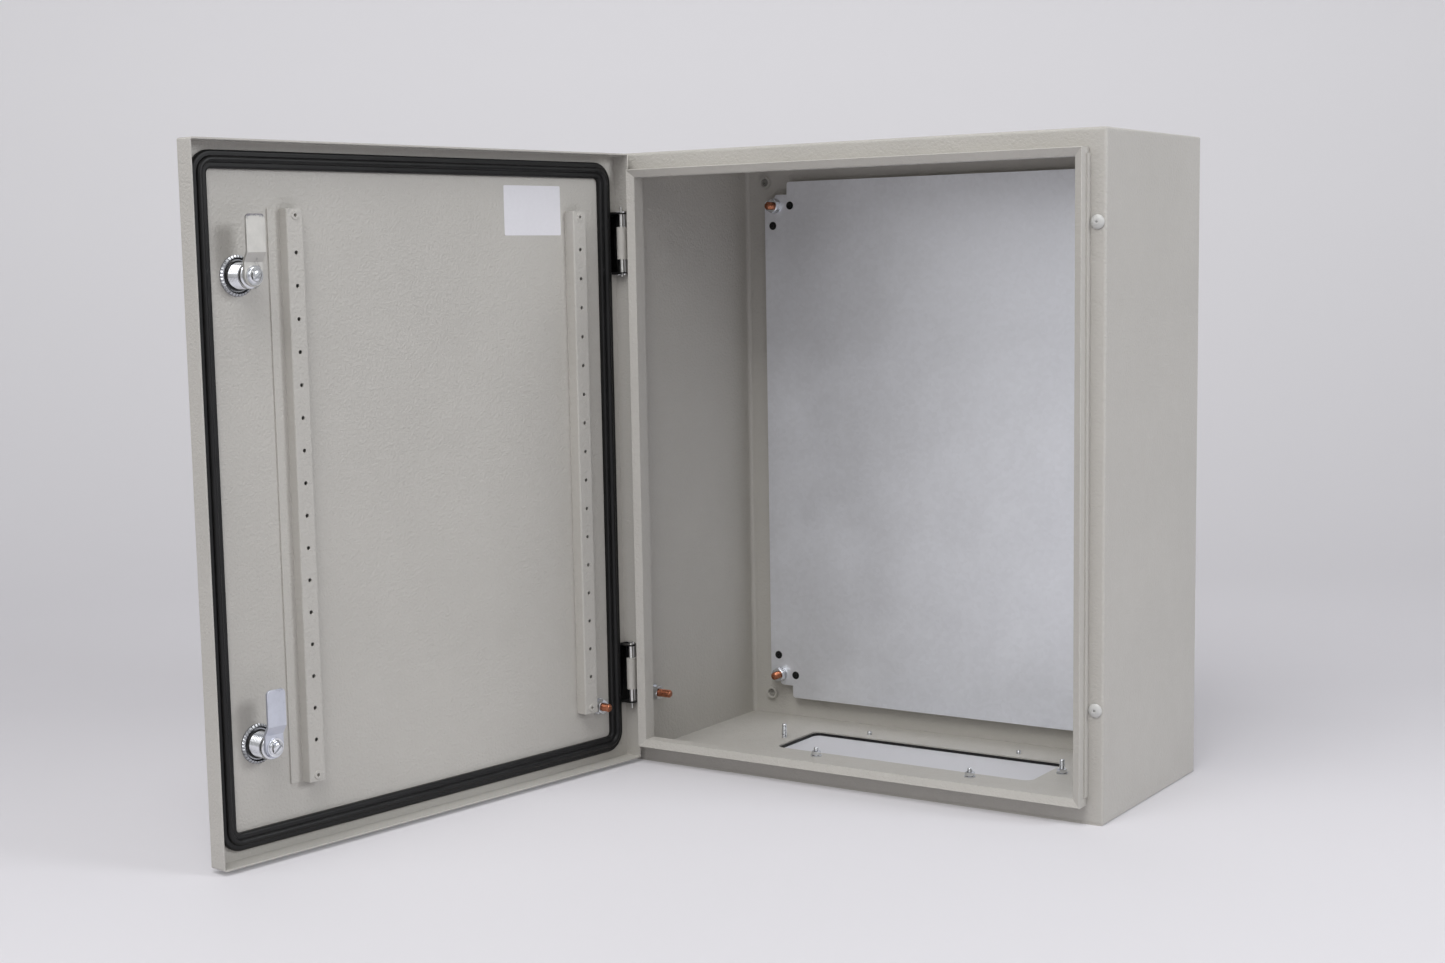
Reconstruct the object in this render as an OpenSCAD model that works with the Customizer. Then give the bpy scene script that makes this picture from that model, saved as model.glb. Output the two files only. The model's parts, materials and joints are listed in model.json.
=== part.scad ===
// Wall-mounted steel enclosure for a DC combiner: body, hinged door, mounting plate.
// Lengths are in millimetres. The origin is the middle of the back panel's outer face, +Z is up,
// and the door side faces -Y. Modules are drawn from the cabinet's front lower left corner, with
// the door shut; cabinet() and door_leaf() then put them in place.

/* [Cabinet] */
// Width across the sides
body_w = 500; // [440:10:800]
// Height
body_h = 600; // [520:10:1000]
// Depth of the body behind the door
body_d = 225; // [200:5:400]
// Thickness of the folded steel sheet
sheet = 1.5; // [1.2:0.1:1.8]
// Outside radius of the folded edges
bend_r = 3; // [2:0.5:4]
// Outside radius of the bends round the back
rear_r = 6; // [4:0.5:8]
// Height of the floor's underside above the foot
floor_rise = 4.5; // [4.2:0.1:8]
// Width of the foot flange round the base
foot_w = 12; // [8:1:20]

/* [Mouth] */
// Width of the front band at the sides
band_side = 15.5; // [14.5:0.5:20]
// Width of the front band at the top
band_top = 16.5; // [14:0.5:22]
// Width of the front band at the bottom
band_bottom = 17; // [14:0.5:22]
// How far the rain collar stands in front of the band
collar_out = 16; // [13:0.5:16]
// Width of the collar's sloping crest
crest_w = 7.5; // [6:0.5:9]
// Fall of the crest towards the mouth
crest_fall = 4; // [1:0.5:5]
// How far the collar returns behind the band's face
return_reach = 1.8; // [1.6:0.1:3]
// How far the side strips stand in front of the band
strip_out = 7; // [4:0.5:9]
// Clear length of a side strip at its lower end
strip_low = 25; // [20:1:60]
// Clear length of a side strip at its upper end
strip_high = 22; // [20:1:60]

/* [Back and mounting plate] */
// Distance of the wall fixing holes from the cabinet's sides
wall_hole_in = 26; // [24:1:60]
// Distance of the lower wall fixing holes from the base
wall_hole_low = 29; // [24:1:60]
// Distance of the upper wall fixing holes from the top
wall_hole_high = 24; // [22:1:60]
// Diameter of the wall fixing holes
wall_hole = 8.5; // [6:0.5:10]
// Thickness of the mounting plate
plate_t = 2; // [1.5:0.5:3]
// Gap between the back panel and the mounting plate
plate_gap = 8; // [5:1:20]
// Clearance between the mounting plate and the cabinet's sides
plate_side = 30; // [26:1:60]
// Clearance below the mounting plate
plate_low = 28; // [26:1:60]
// Clearance above the mounting plate
plate_high = 24.5; // [18:0.5:60]
// Width and height of the first corner step
step_a = [27, 13];
// Width and height of the second corner step
step_b = [12, 19];
// Radius of the plate's outer corners
plate_corner = 3; // [1:0.5:5]
// Distance of the plate studs from the plate's side edges
stud_in = 12.5; // [10:0.5:14]
// Distance of the plate studs from the plate's top and bottom edges
stud_up = 24.5; // [24.5:0.5:40]
// Diameter of the small holes beside each plate stud
plate_hole = 8.5; // [4:0.5:9]
// Distance of the lower small hole's centre from the stud, sideways
plate_hole_side = 18; // [15:0.5:19]
// Distance of the other small hole's centre from the stud, up or down
plate_hole_up = 20.5; // [19:0.5:24]

/* [Threads] */
// Diameter of the mounting and earth studs
stud_d = 8; // [6:1:8]
// Length of stud that shows past its nut
stud_show = 8; // [6:1:16]
// Distance across the flats of the stud nuts
nut_af = 13; // [12:1:13]
// Height of the stud nuts
nut_h = 6.5; // [5:0.5:8]
// Diameter of the stud washers
washer_d = 16; // [15:1:18]
// Thickness of the stud washers
washer_t = 1.6; // [1:0.1:2]
// How much wider than a stud its clearance hole is
stud_clear = 1; // [0.5:0.1:1.2]

/* [Cable entry] */
// Width of the opening in the floor
gland_w = 280; // [200:10:300]
// Depth of the opening in the floor
gland_d = 80; // [60:5:100]
// Distance from the opening to the cabinet's back
gland_back = 54; // [50:1:58]
// Corner radius of the opening
gland_r = 9; // [4:1:20]
// How far the gland plate reaches past the opening
gland_lap = 24; // [20:1:30]
// Thickness of the gland plate
gland_plate_t = 1.5; // [1.5:0.1:1.6]
// Thickness of the gland plate's seal
gland_seal_t = 2.5; // [2:0.1:2.6]
// Distance from the opening's edge to the studs
gland_stud_off = 14; // [10:1:16]
// Diameter of the gland plate studs
gland_stud_d = 5; // [4:1:5]
// Height above the floor of the studs at the opening's ends
gland_stud_h = 14; // [10:1:16]
// Height above the floor of the studs along its front edge
gland_stud_near = 9; // [8:1:14]
// Height above the floor of the studs along its back edge
gland_stud_far = 3; // [2:0.5:6]

/* [Door] */
// How far the door stands in front of the band
door_out = 25; // [25:0.5:28]
// Depth of the door's folded rim
door_rim = 19.5; // [17:0.5:20]
// Distance of the door's sides inside the cabinet's sides
door_side_gap = 1.2; // [0.5:0.1:1.4]
// Distance of the door's top below the cabinet's top
door_top_gap = 1; // [0:0.5:4]
// Distance of the door's bottom above the cabinet's base
door_bottom_gap = 4; // [1:0.5:6]
// Angle at which the door stands open
door_open = 98; // [0:1:120]
// Width of the foamed seal
seal_w = 16; // [14:0.5:16]
// Height of the foamed seal above the door's skin
seal_h = 7.2; // [6:0.1:7.2]
// Outer corner radius of the foamed seal
seal_r = 20; // [18:1:24]

/* [Hinges] */
// Distance of the hinge axis from the cabinet's side
hinge_in = 6.4; // [6.2:0.1:6.6]
// Distance of the hinge axis in front of the band
hinge_out = 11.5; // [11.5:0.1:12]
// Distance of each hinge's middle from the door's top or bottom
hinge_from_end = 85.5; // [83:0.5:140]
// Diameter of the hinge barrel
barrel_d = 9.4; // [7.6:0.1:9.6]
// Length of the hinge barrel
barrel_l = 31; // [24:1:36]
// Diameter of the hinge pin
pin_d = 5; // [4:0.5:5]
// Radial clearance between the pin and the barrel
pin_clear = 0.05; // [0.02:0.01:0.1]
// Distance from the hinge's middle to the inside of each ear
ear_at = 27.8; // [25:0.1:32]
// Thickness of the bracket's foot and web
bracket_t = 1; // [0.8:0.1:1]

/* [Locks] */
// Distance of the locks from the cabinet's side
lock_in = 53; // [50:1:60]
// Distance of the upper lock below the cabinet's top
lock_high = 110.5; // [90:0.5:140]
// Distance of the lower lock above the base
lock_low = 100; // [90:1:140]
// Diameter of the lock's threaded housing
lock_d = 22; // [20:0.5:24]
// Diameter of the lock's rotor
rotor_d = 16; // [14:0.5:17]
// Radial clearance between the rotor and its housing
rotor_clear = 0.05; // [0.02:0.01:0.1]
// Diameter of the lock's outside flange
lock_flange_d = 30; // [28:1:34]
// Diameter of the serrated ring inside the door
lock_ring_d = 34; // [33:0.5:38]
// Thickness of the cam
cam_t = 2.5; // [2:0.1:2.6]
// Width of the cam
cam_w = 18.5; // [18:0.5:22]
// Clearance behind the collar for the locked cam
cam_clear = 0.7; // [0.5:0.1:1.5]
// Clearance between the locked cam's tip and the cabinet's side
cam_tip_gap = 2; // [2:0.5:6]

/* [Door profiles] */
// Distance of the free side profile's outer edge from the cabinet's side
profile_free_in = 84.5; // [80:0.5:100]
// Distance of the hinge side profile's outer edge from the cabinet's side
profile_hinge_in = 42; // [40:0.5:60]
// Height of the profiles above the door's skin
profile_h = 11.5; // [8:0.5:12]
// Width of the profiles' face
profile_face = 17; // [14:0.5:24]
// Width of the profiles' outer flange
profile_flange = 12; // [8:0.5:16]
// How much shorter than the cabinet the profiles are
profile_short = 115; // [112:1:160]
// Shortest distance from a profile's end to its first small hole
profile_margin = 35; // [20:1:60]
// Distance from one small hole to the next
profile_pitch = 27.5; // [20:0.5:28]
// Diameter of the small holes
profile_hole = 3.5; // [3:0.5:5]
// Distance of the end fixings from the profile's ends
profile_end = 5.5; // [5:0.5:8]
// Length by which the hinge side flange is cut back at its ends
profile_cut = 24; // [20:1:30]

/* [Small fittings] */
// Distance of the blanking plugs from the cabinet's side
plug_in = 7.7; // [7.6:0.1:8]
// Diameter of the blanking plugs
plug_d = 12.4; // [10:0.1:12.4]
// Distance of the upper blanking plug below the top
plug_high = 79; // [60:1:120]
// Distance of the lower blanking plug above the base
plug_low = 102; // [60:1:120]
// Height of the body's earth stud above the base
earth_up = 62; // [50:1:100]
// Distance of the body's earth stud behind the front
earth_back = 33; // [25:1:60]
// Length of the body's earth stud that shows past its nut
earth_show = 13; // [8:1:20]
// Height of the door's earth stud above the base
door_earth_up = 61; // [58:1:63]
// Distance of the door's earth stud from the cabinet's side
door_earth_in = 42; // [40:1:44]

/* [Hidden] */
$fn = 48;

paint = [0.70, 0.69, 0.67];
zinc = [0.66, 0.68, 0.71];
chrome = [0.80, 0.81, 0.83];
copper = [0.72, 0.42, 0.26];
black = [0.10, 0.10, 0.10];
eps = 0.5; // extra length of a cut past the face it opens

floor_top = floor_rise + sheet;
back_in = body_d - sheet; // inner face of the back panel
plate_front = back_in - plate_gap - plate_t;
collar_in_side = band_side + crest_w; // the mouth's clear edge
collar_in_top = band_top + crest_w;
collar_in_bottom = band_bottom + crest_w;
skin = -door_out + sheet; // inner face of the door's skin
door_x = [door_side_gap, body_w - door_side_gap];
door_z = [door_bottom_gap, body_h - door_top_gap];
door_mid = (door_z[0] + door_z[1]) / 2;
hinge_z = [door_z[1] - hinge_from_end, door_z[0] + hinge_from_end];
bracket_half = ear_at + sheet + 0.9; // half the bracket's height
cutout_half = bracket_half + 0.3; // half the cut-out in the door's rim
lip = 2.5; // rim left in front of the hinge cut-out
arm_half = barrel_l / 2;
web_y = -door_out + lip + 0.1; // the web starts behind the rim's lip
web_w = -hinge_out - 3 - web_y; // and stops short of the axis, to clear the barrel
lock_x = body_w - lock_in;
lock_z = [body_h - lock_high, lock_low];
cam_back = return_reach + cam_clear; // face of the cam's outer half when shut
cam_low = cam_back - 2 * cam_t; // face of the cam's inner half
cam_reach = lock_in - sheet - cam_tip_gap;
housing_end = cam_low - 0.3;
profile_edge_free = body_w - profile_free_in;
profile_l = body_h - profile_short;
profile_holes = floor((profile_l - 2 * profile_margin) / profile_pitch) + 1;
plug_z = [body_h - plug_high, plug_low];
plug_end = cam_back - 0.4; // the plug's shank ends in front of the locked cam
wall_holes = [for (x = [wall_hole_in, body_w - wall_hole_in])
    for (z = [wall_hole_low, body_h - wall_hole_high]) [x, z]];
plate_x = [plate_side, body_w - plate_side];
plate_z = [plate_low, body_h - plate_high];
plate_stud_x = [plate_x[0] + stud_in, plate_x[1] - stud_in];
plate_stud_z = [plate_z[0] + stud_up, plate_z[1] - stud_up];
plate_stud_at = [for (x = plate_stud_x) for (z = plate_stud_z) [x, z]];
gland_front = body_d - gland_back - gland_d;
gland_mid = [body_w / 2, gland_front + gland_d / 2];
gland_row = 0.3 * gland_w; // the long sides' studs, each side of the middle
function gland_side(sy) = [for (sx = [-1, 1])
    gland_mid + [sx * gland_row, sy * (gland_d / 2 + gland_stud_off)]];
gland_near = gland_side(-1);
gland_far = gland_side(1);
gland_ends = [for (sx = [-1, 1]) gland_mid + [sx * (gland_w / 2 + gland_stud_off), 0]];
gland_stud_at = concat(gland_near, gland_far, gland_ends);
gland_nut_at = concat(gland_near, [gland_ends[1]]); // the other studs stand bare

// ---------- helpers ----------

// From the cabinet's front lower left corner to the model's origin.
module cabinet() translate([-body_w / 2, -body_d, -body_h / 2]) children();

// The door and what is on it, swung open about the hinge axis.
module door_leaf() cabinet()
    translate([hinge_in, -hinge_out, 0]) rotate([0, 0, -door_open])
        translate([-hinge_in, hinge_out, 0]) children();

// Stands a drawing up: its Y becomes height, and its extrusion runs back along +Y.
module upright() mirror([0, 1, 0]) rotate([90, 0, 0]) children();

// A round piece along +Y from depth y0 to y1, on the axis at [x, z].
module rod(at, y0, y1, d) translate([at[0], y0, at[1]]) upright() cylinder(d = d, h = y1 - y0);

module rounded(size, r) union() {
    translate([r, 0]) square([size[0] - 2 * r, size[1]]);
    translate([0, r]) square([size[0], size[1] - 2 * r]);
    for (x = [r, size[0] - r]) for (y = [r, size[1] - r]) translate([x, y]) circle(r);
}

// A strip of sheet with one rounded outer corner at the section's origin.
module bend_cut(r) difference() {
    translate([-eps, -eps]) square(r + eps);
    translate([r, r]) circle(r);
}

nut_corner = 1.16; // a nut's width across corners over its flats, less the chamfer
nut_face = 0.98; // the chamfered face's width over the flats
nut_bevel = 0.12; // the chamfer's share of the height

module hex_nut(af, h, bore) difference() {
    intersection() {
        rotate([0, 0, 30]) cylinder(d = af / cos(30), h = h, $fn = 6);
        union() {
            cylinder(d1 = af * nut_face, d2 = af * nut_corner, h = h * nut_bevel);
            translate([0, 0, h * nut_bevel]) cylinder(d = af * nut_corner, h = h * (1 - 2 * nut_bevel));
            translate([0, 0, h * (1 - nut_bevel)])
                cylinder(d1 = af * nut_corner, d2 = af * nut_face, h = h * nut_bevel);
        }
    }
    translate([0, 0, -eps]) cylinder(d = bore, h = h + 2 * eps);
}

module washer(d, t, bore) difference() {
    cylinder(d = d, h = t);
    translate([0, 0, -eps]) cylinder(d = bore, h = t + 2 * eps);
}

// A weld stud with a chamfered tip, from z = 0 up.
stud_bevel = 0.14; // the chamfer's height over the stud's diameter
stud_tip = 0.78; // the tip's diameter over the stud's

module stud(d, l) {
    cylinder(d = d, h = l - d * stud_bevel);
    translate([0, 0, l - d * stud_bevel]) cylinder(d1 = d, d2 = d * stud_tip, h = d * stud_bevel);
}

// ---------- cabinet ----------

// Section of one side of the mouth: x runs in from the cabinet's side, y runs back.
module mouth_section(band, wall) difference() {
    union() {
        square([sheet, wall]);
        square([band + sheet, sheet]);
        translate([band, -collar_out + sheet]) square([sheet, collar_out]);
        polygon([[band, -collar_out], [band + crest_w, -collar_out + crest_fall],
            [band + crest_w, -collar_out + crest_fall + sheet], [band, -collar_out + sheet]]);
        translate([band + crest_w - sheet, -collar_out + crest_fall])
            square([sheet, collar_out - crest_fall + return_reach]);
    }
    bend_cut(bend_r);
    translate([band, -collar_out]) bend_cut(sheet);
}

mitre_weld = 0.1; // how far the sides run past the mitre into the top and bottom, as welded

// The region in front view that belongs to the left side, mitred to the top and bottom.
module left_mitre() polygon([[0, -mitre_weld], [band_side, band_bottom - mitre_weld],
    [collar_in_side, collar_in_bottom - mitre_weld],
    [collar_in_side, body_h - collar_in_top + mitre_weld],
    [band_side, body_h - band_top + mitre_weld], [0, body_h + mitre_weld]]);

module bottom_mitre() polygon([[0, 0], [band_side, band_bottom], [collar_in_side, collar_in_bottom],
    [body_w - collar_in_side, collar_in_bottom], [body_w - band_side, band_bottom], [body_w, 0]]);

module top_mitre() polygon([[0, body_h], [band_side, body_h - band_top],
    [collar_in_side, body_h - collar_in_top], [body_w - collar_in_side, body_h - collar_in_top],
    [body_w - band_side, body_h - band_top], [body_w, body_h]]);

module mitred() intersection() {
    children(0);
    translate([0, -collar_out - eps, 0]) upright()
        linear_extrude(body_d + collar_out + 2 * eps) children(1);
}

module mouth_left() mitred() {
    translate([0, 0, -mitre_weld]) linear_extrude(body_h + 2 * mitre_weld)
        mouth_section(band_side, body_d);
    left_mitre();
}

module mouth_bottom() mitred() {
    translate([body_w, 0, 0]) rotate([0, -90, 0])
        linear_extrude(body_w) mouth_section(band_bottom, foot_w);
    bottom_mitre();
}

module mouth_top() mitred() {
    translate([0, 0, body_h]) rotate([0, 90, 0])
        linear_extrude(body_w) mouth_section(band_top, body_d);
    top_mitre();
}

module gland_outline(grow) translate([gland_mid[0] - gland_w / 2 - grow, gland_front - grow])
    rounded([gland_w + 2 * grow, gland_d + 2 * grow], gland_r + max(grow, -gland_r / 2));

module raised_floor() translate([0, 0, floor_rise]) difference() {
    translate([sheet / 2, sheet / 2, 0]) cube([body_w - sheet, back_in - sheet / 2, sheet]);
    translate([0, 0, -eps]) linear_extrude(sheet + 2 * eps) gland_outline(0);
    for (p = gland_stud_at) translate([p[0], p[1], -eps])
        cylinder(d = gland_stud_d + gland_stud_clear, h = sheet + 2 * eps);
}

module foot_flange() difference() {
    cube([body_w, back_in, sheet]);
    translate([foot_w, foot_w, -eps]) cube([body_w - 2 * foot_w, back_in - 2 * foot_w, sheet + 2 * eps]);
}

module side_strip() translate([band_side - sheet, -strip_out, strip_low])
    cube([1.5 * sheet, strip_out + sheet / 2, body_h - strip_low - strip_high]);

module on_right() translate([body_w, 0, 0]) mirror([1, 0, 0]) children();

// Plan of the body, or of the space in it: straight in front, with rounded rear corners.
module plan_form(w, inset) translate([inset, -collar_out - 2 * rear_r])
    rounded([w - 2 * inset, body_d - inset + collar_out + 2 * rear_r], rear_r - inset);

// The body's outer form with inset 0, and the space in it with an inset of the sheet's thickness.
module body_form(inset) intersection() {
    translate([0, 0, -eps]) linear_extrude(body_h + 2 * eps) plan_form(body_w, inset);
    translate([-eps, 0, body_h]) rotate([0, 90, 0])
        linear_extrude(body_w + 2 * eps) plan_form(body_h, inset);
}

// The bends that carry the back panel's edges.
module rear_bends() difference() {
    translate([0, body_d - rear_r, 0]) cube([body_w, rear_r, body_h]);
    body_form(sheet);
    translate([rear_r, back_in - eps, rear_r])
        cube([body_w - 2 * rear_r, sheet + 2 * eps, body_h - 2 * rear_r]);
}

slot_size = [2, 13]; // width and height of the pressed marks in the hinge side's wall
slot_deep = 0.8;
slot_back = 30; // their distance behind the front
slot_z = [hinge_z[0] + 7, hinge_z[1] - 7];

module body_shell() color(paint) cabinet() difference() {
    intersection() {
        union() {
            mouth_left();
            on_right() mouth_left();
            mouth_bottom();
            mouth_top();
            side_strip();
            on_right() side_strip();
            raised_floor();
            foot_flange();
            rear_bends();
        }
        body_form(0);
        translate([0, -collar_out, 0]) upright()
            linear_extrude(body_d + collar_out) rounded([body_w, body_h], bend_r);
    }
    for (z = plug_z) rod([body_w - plug_in, z], -eps, sheet + eps, plug_hole_d);
    for (z = slot_z) translate([sheet - slot_deep, slot_back, z - slot_size[1] / 2])
        cube([slot_deep + eps, slot_size[0], slot_size[1]]);
}

module back_panel() color(paint) cabinet() difference() {
    translate([rear_r, back_in, rear_r]) cube([body_w - 2 * rear_r, sheet, body_h - 2 * rear_r]);
    for (p = wall_holes) rod(p, back_in - eps, body_d + eps, wall_hole);
}

bush_h = 4; // height of the wall bushes
bush_bevel = 1.2; // height of their sloping side
bush_foot = 2.6; // width of their ring at the back panel
bush_top = 2; // and at its top

// Rings that stiffen the wall fixing holes, on the inside of the back panel.
module wall_bushes() color(paint) cabinet() for (p = wall_holes)
    translate([p[0], back_in, p[1]]) rotate([90, 0, 0]) difference() {
        union() {
            cylinder(d1 = wall_hole + 2 * bush_foot, d2 = wall_hole + 2 * bush_top, h = bush_bevel);
            cylinder(d = wall_hole + 2 * bush_top, h = bush_h);
        }
        translate([0, 0, -eps]) cylinder(d = wall_hole, h = bush_h + 2 * eps);
    }

module plate_outline() difference() {
    translate([plate_x[0], plate_z[0]]) square([plate_x[1] - plate_x[0], plate_z[1] - plate_z[0]]);
    for (mx = [0, 1]) for (mz = [0, 1])
        translate([plate_x[mx], plate_z[mz]]) mirror([mx, 0]) mirror([0, mz]) {
            translate([-eps, -eps]) square(step_a + [eps, eps]);
            translate([-eps, -eps]) square(step_b + [eps, eps]);
            for (p = [[0, step_b[1]], [step_b[0], step_a[1]], [step_a[0], 0]])
                translate(p) bend_cut(plate_corner);
        }
}

plate_hole_shift = 3; // the far small hole sits this much nearer the plate's side than the stud

module plate_bore(x, z, d) rod([x, z], plate_front - eps, plate_front + plate_t + eps, d);

module mounting_plate() color(zinc) cabinet() difference() {
    translate([0, plate_front, 0]) upright() linear_extrude(plate_t) plate_outline();
    for (p = plate_stud_at) plate_bore(p[0], p[1], stud_d + stud_clear);
    for (mx = [0, 1]) for (mz = [0, 1]) {
        x = plate_stud_x[mx];
        z = plate_stud_z[mz];
        plate_bore(x + (1 - 2 * mx) * plate_hole_side, z, plate_hole);
        plate_bore(x - (1 - 2 * mx) * plate_hole_shift, z + (1 - 2 * mz) * plate_hole_up, plate_hole);
    }
}

// What sits on each plate stud, drawn from the back panel forward.
module on_plate_studs(from) cabinet() for (p = plate_stud_at)
    translate([p[0], back_in - from, p[1]]) rotate([90, 0, 0]) children();

plate_stack = plate_gap + plate_t;

module plate_studs() color(copper) on_plate_studs(0)
    stud(stud_d, plate_stack + washer_t + nut_h + stud_show);

module plate_spacers() color(zinc) on_plate_studs(0) washer(washer_d - 2, plate_gap, stud_d);

module plate_washers() color(chrome) on_plate_studs(plate_stack) washer(washer_d, washer_t, stud_d);

module plate_nuts() color(chrome) on_plate_studs(plate_stack + washer_t) hex_nut(nut_af, nut_h, stud_d);

// ---------- cable entry ----------

gland_seal_z = floor_rise - gland_seal_t;
gland_seal_in = 1.5; // the seal shows this much inside the opening
gland_seal_edge = 2; // and stops this far inside the gland plate's edge
gland_stud_clear = 0.4; // how much wider than a stud its hole in the floor is
gland_plate_z = gland_seal_z - gland_plate_t;

module gland_plate() color(zinc) cabinet() translate([0, 0, gland_plate_z])
    linear_extrude(gland_plate_t) gland_outline(gland_lap);

module gland_gasket() color(black) cabinet() translate([0, 0, gland_seal_z]) difference() {
    linear_extrude(gland_seal_t) gland_outline(gland_lap - gland_seal_edge);
    translate([0, 0, -eps]) linear_extrude(gland_seal_t + 2 * eps) gland_outline(-gland_seal_in);
    for (p = gland_stud_at) translate([p[0], p[1], -eps])
        cylinder(d = gland_stud_d, h = gland_seal_t + 2 * eps);
}

module on_gland(places, z) cabinet() for (p = places) translate([p[0], p[1], z]) children();

module gland_row_studs(places, h) on_gland(places, gland_seal_z)
    stud(gland_stud_d, floor_top - gland_seal_z + h);

module gland_studs() color(zinc) {
    gland_row_studs(gland_near, gland_stud_near);
    gland_row_studs(gland_far, gland_stud_far);
    gland_row_studs(gland_ends, gland_stud_h);
}

gland_washer_t = 1.2;
gland_washer_d = 2.2 * gland_stud_d;
gland_nut_af = 1.6 * gland_stud_d;
gland_nut_h = 0.8 * gland_stud_d;

module gland_washers() color(chrome) on_gland(gland_nut_at, floor_top)
    washer(gland_washer_d, gland_washer_t, gland_stud_d);

module gland_nuts() color(chrome) on_gland(gland_nut_at, floor_top + gland_washer_t)
    hex_nut(gland_nut_af, gland_nut_h, gland_stud_d);

// ---------- small fittings on the body ----------

// A domed plug with a small eye, pushed into the front band.
plug_dome = 0.64 * plug_d; // radius of the dome
plug_rise = 0.24 * plug_d; // height of the dome
plug_shank_d = 0.68 * plug_d;
plug_eye = 0.18 * plug_d; // width of the eye
plug_hole_d = plug_shank_d + 0.2;

module plug() rotate_extrude() difference() {
    union() {
        intersection() {
            translate([0, plug_rise - plug_dome]) circle(plug_dome);
            square([plug_d / 2, plug_rise]);
        }
        translate([0, -plug_end]) square([plug_shank_d / 2, plug_end]);
    }
    translate([0, plug_rise - plug_eye]) square([plug_eye / 2, plug_rise]);
    translate([-plug_d, -plug_d]) square([plug_d, 3 * plug_d]);
}

module blanking_plugs() color(chrome) cabinet() for (z = plug_z)
    translate([body_w - plug_in, 0, z]) rotate([90, 0, 0]) plug();

// What sits on the body's earth stud, drawn from the left wall into the cabinet.
module on_body_earth(from) cabinet() translate([sheet + from, earth_back, earth_up])
    rotate([0, 90, 0]) children();

module body_earth_stud() color(copper) on_body_earth(0)
    stud(stud_d, washer_t + nut_h + earth_show);

module body_earth_washer() color(chrome) on_body_earth(0) washer(washer_d, washer_t, stud_d);

module body_earth_nut() color(chrome) on_body_earth(washer_t) hex_nut(nut_af, nut_h, stud_d);

// ---------- hinges ----------

arm_off = 0.6; // the arm starts this far beyond the axis
foot_x = 3; // where a hinge foot starts on the front band
foot_hole_d = 3;
foot_hole = [5, 4.5]; // a foot hole's place from the cabinet's side and from the hinge's middle

// The barrel with its arm and foot on the front band.
module hinge_barrel(z) color(paint) cabinet() translate([0, 0, z]) difference() {
    union() {
        translate([hinge_in, -hinge_out, -arm_half]) cylinder(d = barrel_d, h = barrel_l);
        translate([hinge_in + arm_off, -hinge_out, -arm_half])
            cube([barrel_d / 2 - arm_off, hinge_out, barrel_l]);
        translate([foot_x, -sheet, -arm_half])
            cube([hinge_in + barrel_d / 2 - foot_x, sheet, barrel_l]);
    }
    translate([hinge_in, -hinge_out, -arm_half - eps])
        cylinder(r = pin_d / 2 + pin_clear, h = barrel_l + 2 * eps);
    for (s = [-1, 1]) rod([foot_hole[0], s * foot_hole[1]], -sheet - eps, eps, foot_hole_d);
}

module top_hinge_barrel() hinge_barrel(hinge_z[0]);
module bottom_hinge_barrel() hinge_barrel(hinge_z[1]);

ear_r = pin_d / 2 + 2.2; // round end of a bracket ear
bracket_gap = 0.1; // room between the bracket and the rim of the door
bracket_foot = 2 * bracket_t; // thickness of the bracket's foot
bracket_wide = hinge_in + ear_r; // how far the foot reaches across the skin

module bracket_ear() linear_extrude(sheet) {
    translate([hinge_in - ear_r, web_y]) square([2 * ear_r, -hinge_out - web_y]);
    translate([hinge_in, -hinge_out]) circle(ear_r);
}

// The black bracket in the door's rim: a foot on the skin, a web that closes the cut-out beside
// the barrel, and two ears that hold the pin.
module hinge_bracket(z) color(black) door_leaf() translate([0, 0, z]) difference() {
    union() {
        translate([door_x[0] + sheet + bracket_gap, skin, -bracket_half])
            cube([bracket_wide - door_x[0] - sheet, bracket_foot, 2 * bracket_half]);
        translate([door_x[0], web_y, -bracket_half]) cube([bracket_t, web_w, 2 * bracket_half]);
        translate([door_x[0], web_y, -bracket_half])
            cube([2 * sheet, skin + bracket_foot - web_y, 2 * bracket_half]);
        for (ear_z = [-ear_at - sheet, ear_at]) translate([0, 0, ear_z]) bracket_ear();
    }
    translate([hinge_in, -hinge_out, -bracket_half - eps])
        cylinder(d = pin_d, h = 2 * (bracket_half + eps));
}

module top_hinge_bracket() hinge_bracket(hinge_z[0]);
module bottom_hinge_bracket() hinge_bracket(hinge_z[1]);

tip_l = 5.6; // thin tip past the pin's free end
tip_bulb = 2; // length of the tip's wider end
tip_d = 0.42 * pin_d;
tip_bulb_d = 0.54 * pin_d;
head_l = 2.6; // small head at the pin's other end
head_d = [0.9 * pin_d, 0.5 * pin_d];

// The pin, with a thin tip at its free end and a small head at the other.
module hinge_pin(z, up) color(chrome) door_leaf() translate([hinge_in, -hinge_out, z])
    mirror([0, 0, up ? 0 : 1]) {
        translate([0, 0, -ear_at - sheet]) cylinder(d = pin_d, h = 2 * (ear_at + sheet));
        translate([0, 0, ear_at + sheet]) cylinder(d = tip_d, h = tip_l);
        translate([0, 0, ear_at + sheet + tip_l - tip_bulb])
            cylinder(d1 = tip_d, d2 = tip_bulb_d, h = tip_bulb);
        translate([0, 0, -ear_at - sheet - head_l])
            cylinder(d1 = head_d[0], d2 = head_d[1], h = head_l);
    }

module top_hinge_pin() hinge_pin(hinge_z[0], true);
module bottom_hinge_pin() hinge_pin(hinge_z[1], false);

// ---------- door ----------

module door_section() difference() {
    union() {
        square([sheet, door_rim]);
        square([bend_r + sheet, sheet]);
    }
    bend_cut(bend_r);
}

module door_side(l) linear_extrude(l) door_section();

door_w = door_x[1] - door_x[0];
door_h = door_z[1] - door_z[0];

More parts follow.
